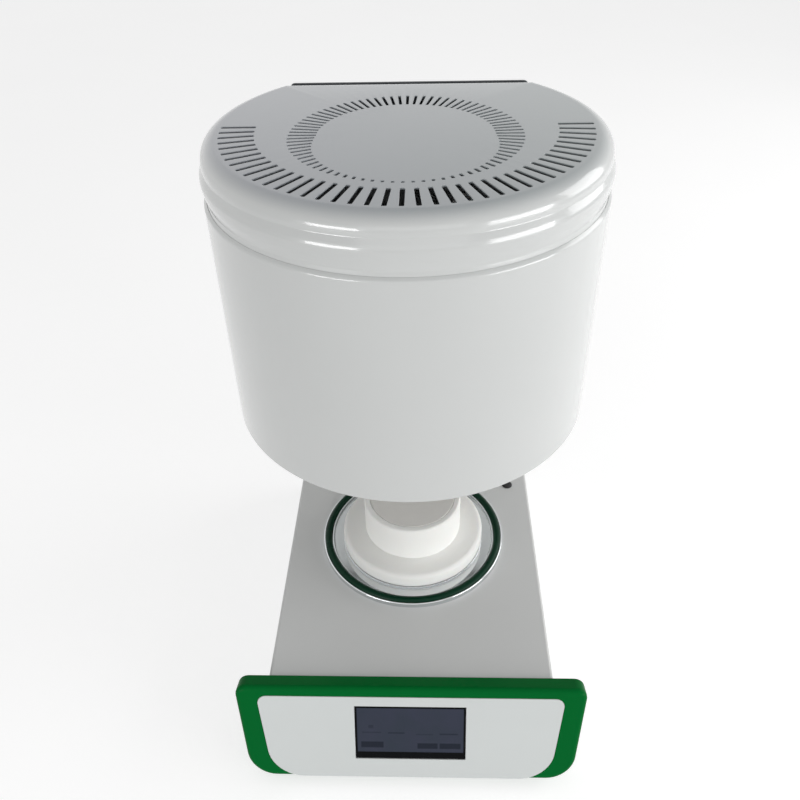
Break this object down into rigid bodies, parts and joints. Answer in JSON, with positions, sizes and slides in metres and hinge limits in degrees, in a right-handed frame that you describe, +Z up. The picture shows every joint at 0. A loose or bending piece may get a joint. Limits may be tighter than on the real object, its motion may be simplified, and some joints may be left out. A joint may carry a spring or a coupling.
{
  "type": "dental porcelain furnace",
  "caption": "Bench furnace for dental ceramics: a round head travels down a column onto a sealed platter with a ceramic pedestal, above a base with a touch display.",
  "frame": {"origin": "on the surface that the feet stand on, in the middle of the furnace's outline", "axes": "+Z up, -Y towards the display panel at the front, +X to the right as seen from the front"},
  "size_m": [0.3066, 0.4024, 0.523],
  "materials": {
    "white_paint": "gloss",
    "base_paint": "satin",
    "dark_paint": "satin",
    "green_plastic": "satin",
    "fascia_plastic": "satin",
    "screen_glass": "polished",
    "black_plastic": "satin",
    "black_rubber": "matte",
    "green_silicone": "satin",
    "polished_steel": "polished",
    "brushed_steel": "satin",
    "galvanised": "matte",
    "aluminium": "satin",
    "bronze": "satin",
    "brass": "satin",
    "white_ceramic": "matte",
    "grey_ceramic": "matte",
    "fibre": "matte",
    "circuit_board": "satin",
    "cable_jacket": "satin",
    "hose": "satin"
  },
  "bodies": {
    "base": {"base_cover": "base_paint", "base_pan": "galvanised", "foot_rear_left": "black_rubber", "foot_rear_right": "black_rubber", "foot_front_left": "black_rubber", "foot_front_right": "black_rubber", "cover_plug": "black_rubber", "power_inlet": "black_plastic", "switch_housing": "black_plastic", "fuse_holder": "black_plastic", "vacuum_port": "brass", "power_supply": "aluminium", "board_carrier": "galvanised", "control_board": "circuit_board", "heat_sink": "aluminium", "heater_relay": "black_plastic", "vacuum_valve": "brass", "display_cable": "cable_jacket", "hose_rear": "hose", "hose_front": "hose", "front_bezel": "green_plastic", "front_fascia": "fascia_plastic", "display_glass": "screen_glass", "display_module": "galvanised", "platter": "polished_steel", "seal_ring": "green_silicone", "column_front": "base_paint", "column_cover": "base_paint", "column_foot": "galvanised", "column_top_plate": "galvanised", "guide_rod_left": "polished_steel", "guide_rod_right": "polished_steel", "screw_bearing_lower": "brushed_steel", "screw_bearing_upper": "brushed_steel", "lift_motor": "dark_paint", "limit_switch_upper": "black_plastic", "limit_switch_lower": "black_plastic"},
    "screw": {"lead_screw": "polished_steel", "motor_coupling": "aluminium"},
    "head": {"head_top_cover": "white_paint", "head_sleeve": "white_paint", "head_floor": "galvanised", "head_back_plate": "dark_paint", "chamber_flange": "polished_steel", "vacuum_bell": "brushed_steel", "muffle_ring": "fibre", "muffle": "fibre", "muffle_lid": "fibre", "heater_tube": "white_ceramic", "thermocouple": "white_ceramic", "terminal_block": "white_ceramic", "carriage": "aluminium", "linear_bearing_left": "brushed_steel", "linear_bearing_right": "brushed_steel", "lead_nut": "bronze"},
    "rocker": {"switch_rocker": "black_plastic"},
    "pedestal": {"pedestal_plate": "brushed_steel", "pedestal_lower": "white_ceramic", "pedestal_upper": "white_ceramic"},
    "tray": {"firing_disc": "grey_ceramic"}
  },
  "joints": [
    {"name": "head_lift", "type": "slide", "parent": "base", "child": "head", "axis": [0, 0, -1], "range_m": [0, 0.1925]},
    {"name": "lead_screw_spin", "type": "hinge", "parent": "base", "child": "screw", "pos_m": [0, 0.15519, 0.3], "axis": [0, 0, 1], "range_deg": [0, 13862]},
    {"name": "power_switch", "type": "hinge", "parent": "base", "child": "rocker", "pos_m": [-0.042, 0.18319, 0.048], "axis": [1, 0, 0], "range_deg": [0, 16]},
    {"name": "pedestal_lift", "type": "slide", "parent": "base", "child": "pedestal", "axis": [0, 0, 1], "range_m": [0, 0.012]},
    {"name": "firing_disc_lift", "type": "slide", "parent": "pedestal", "child": "tray", "axis": [0, 0, 1], "range_m": [0, 0.012]}
  ],
  "couplings": [
    {"joint": "lead_screw_spin", "follows": "head_lift", "rad_per_m": 1256.6}
  ]
}
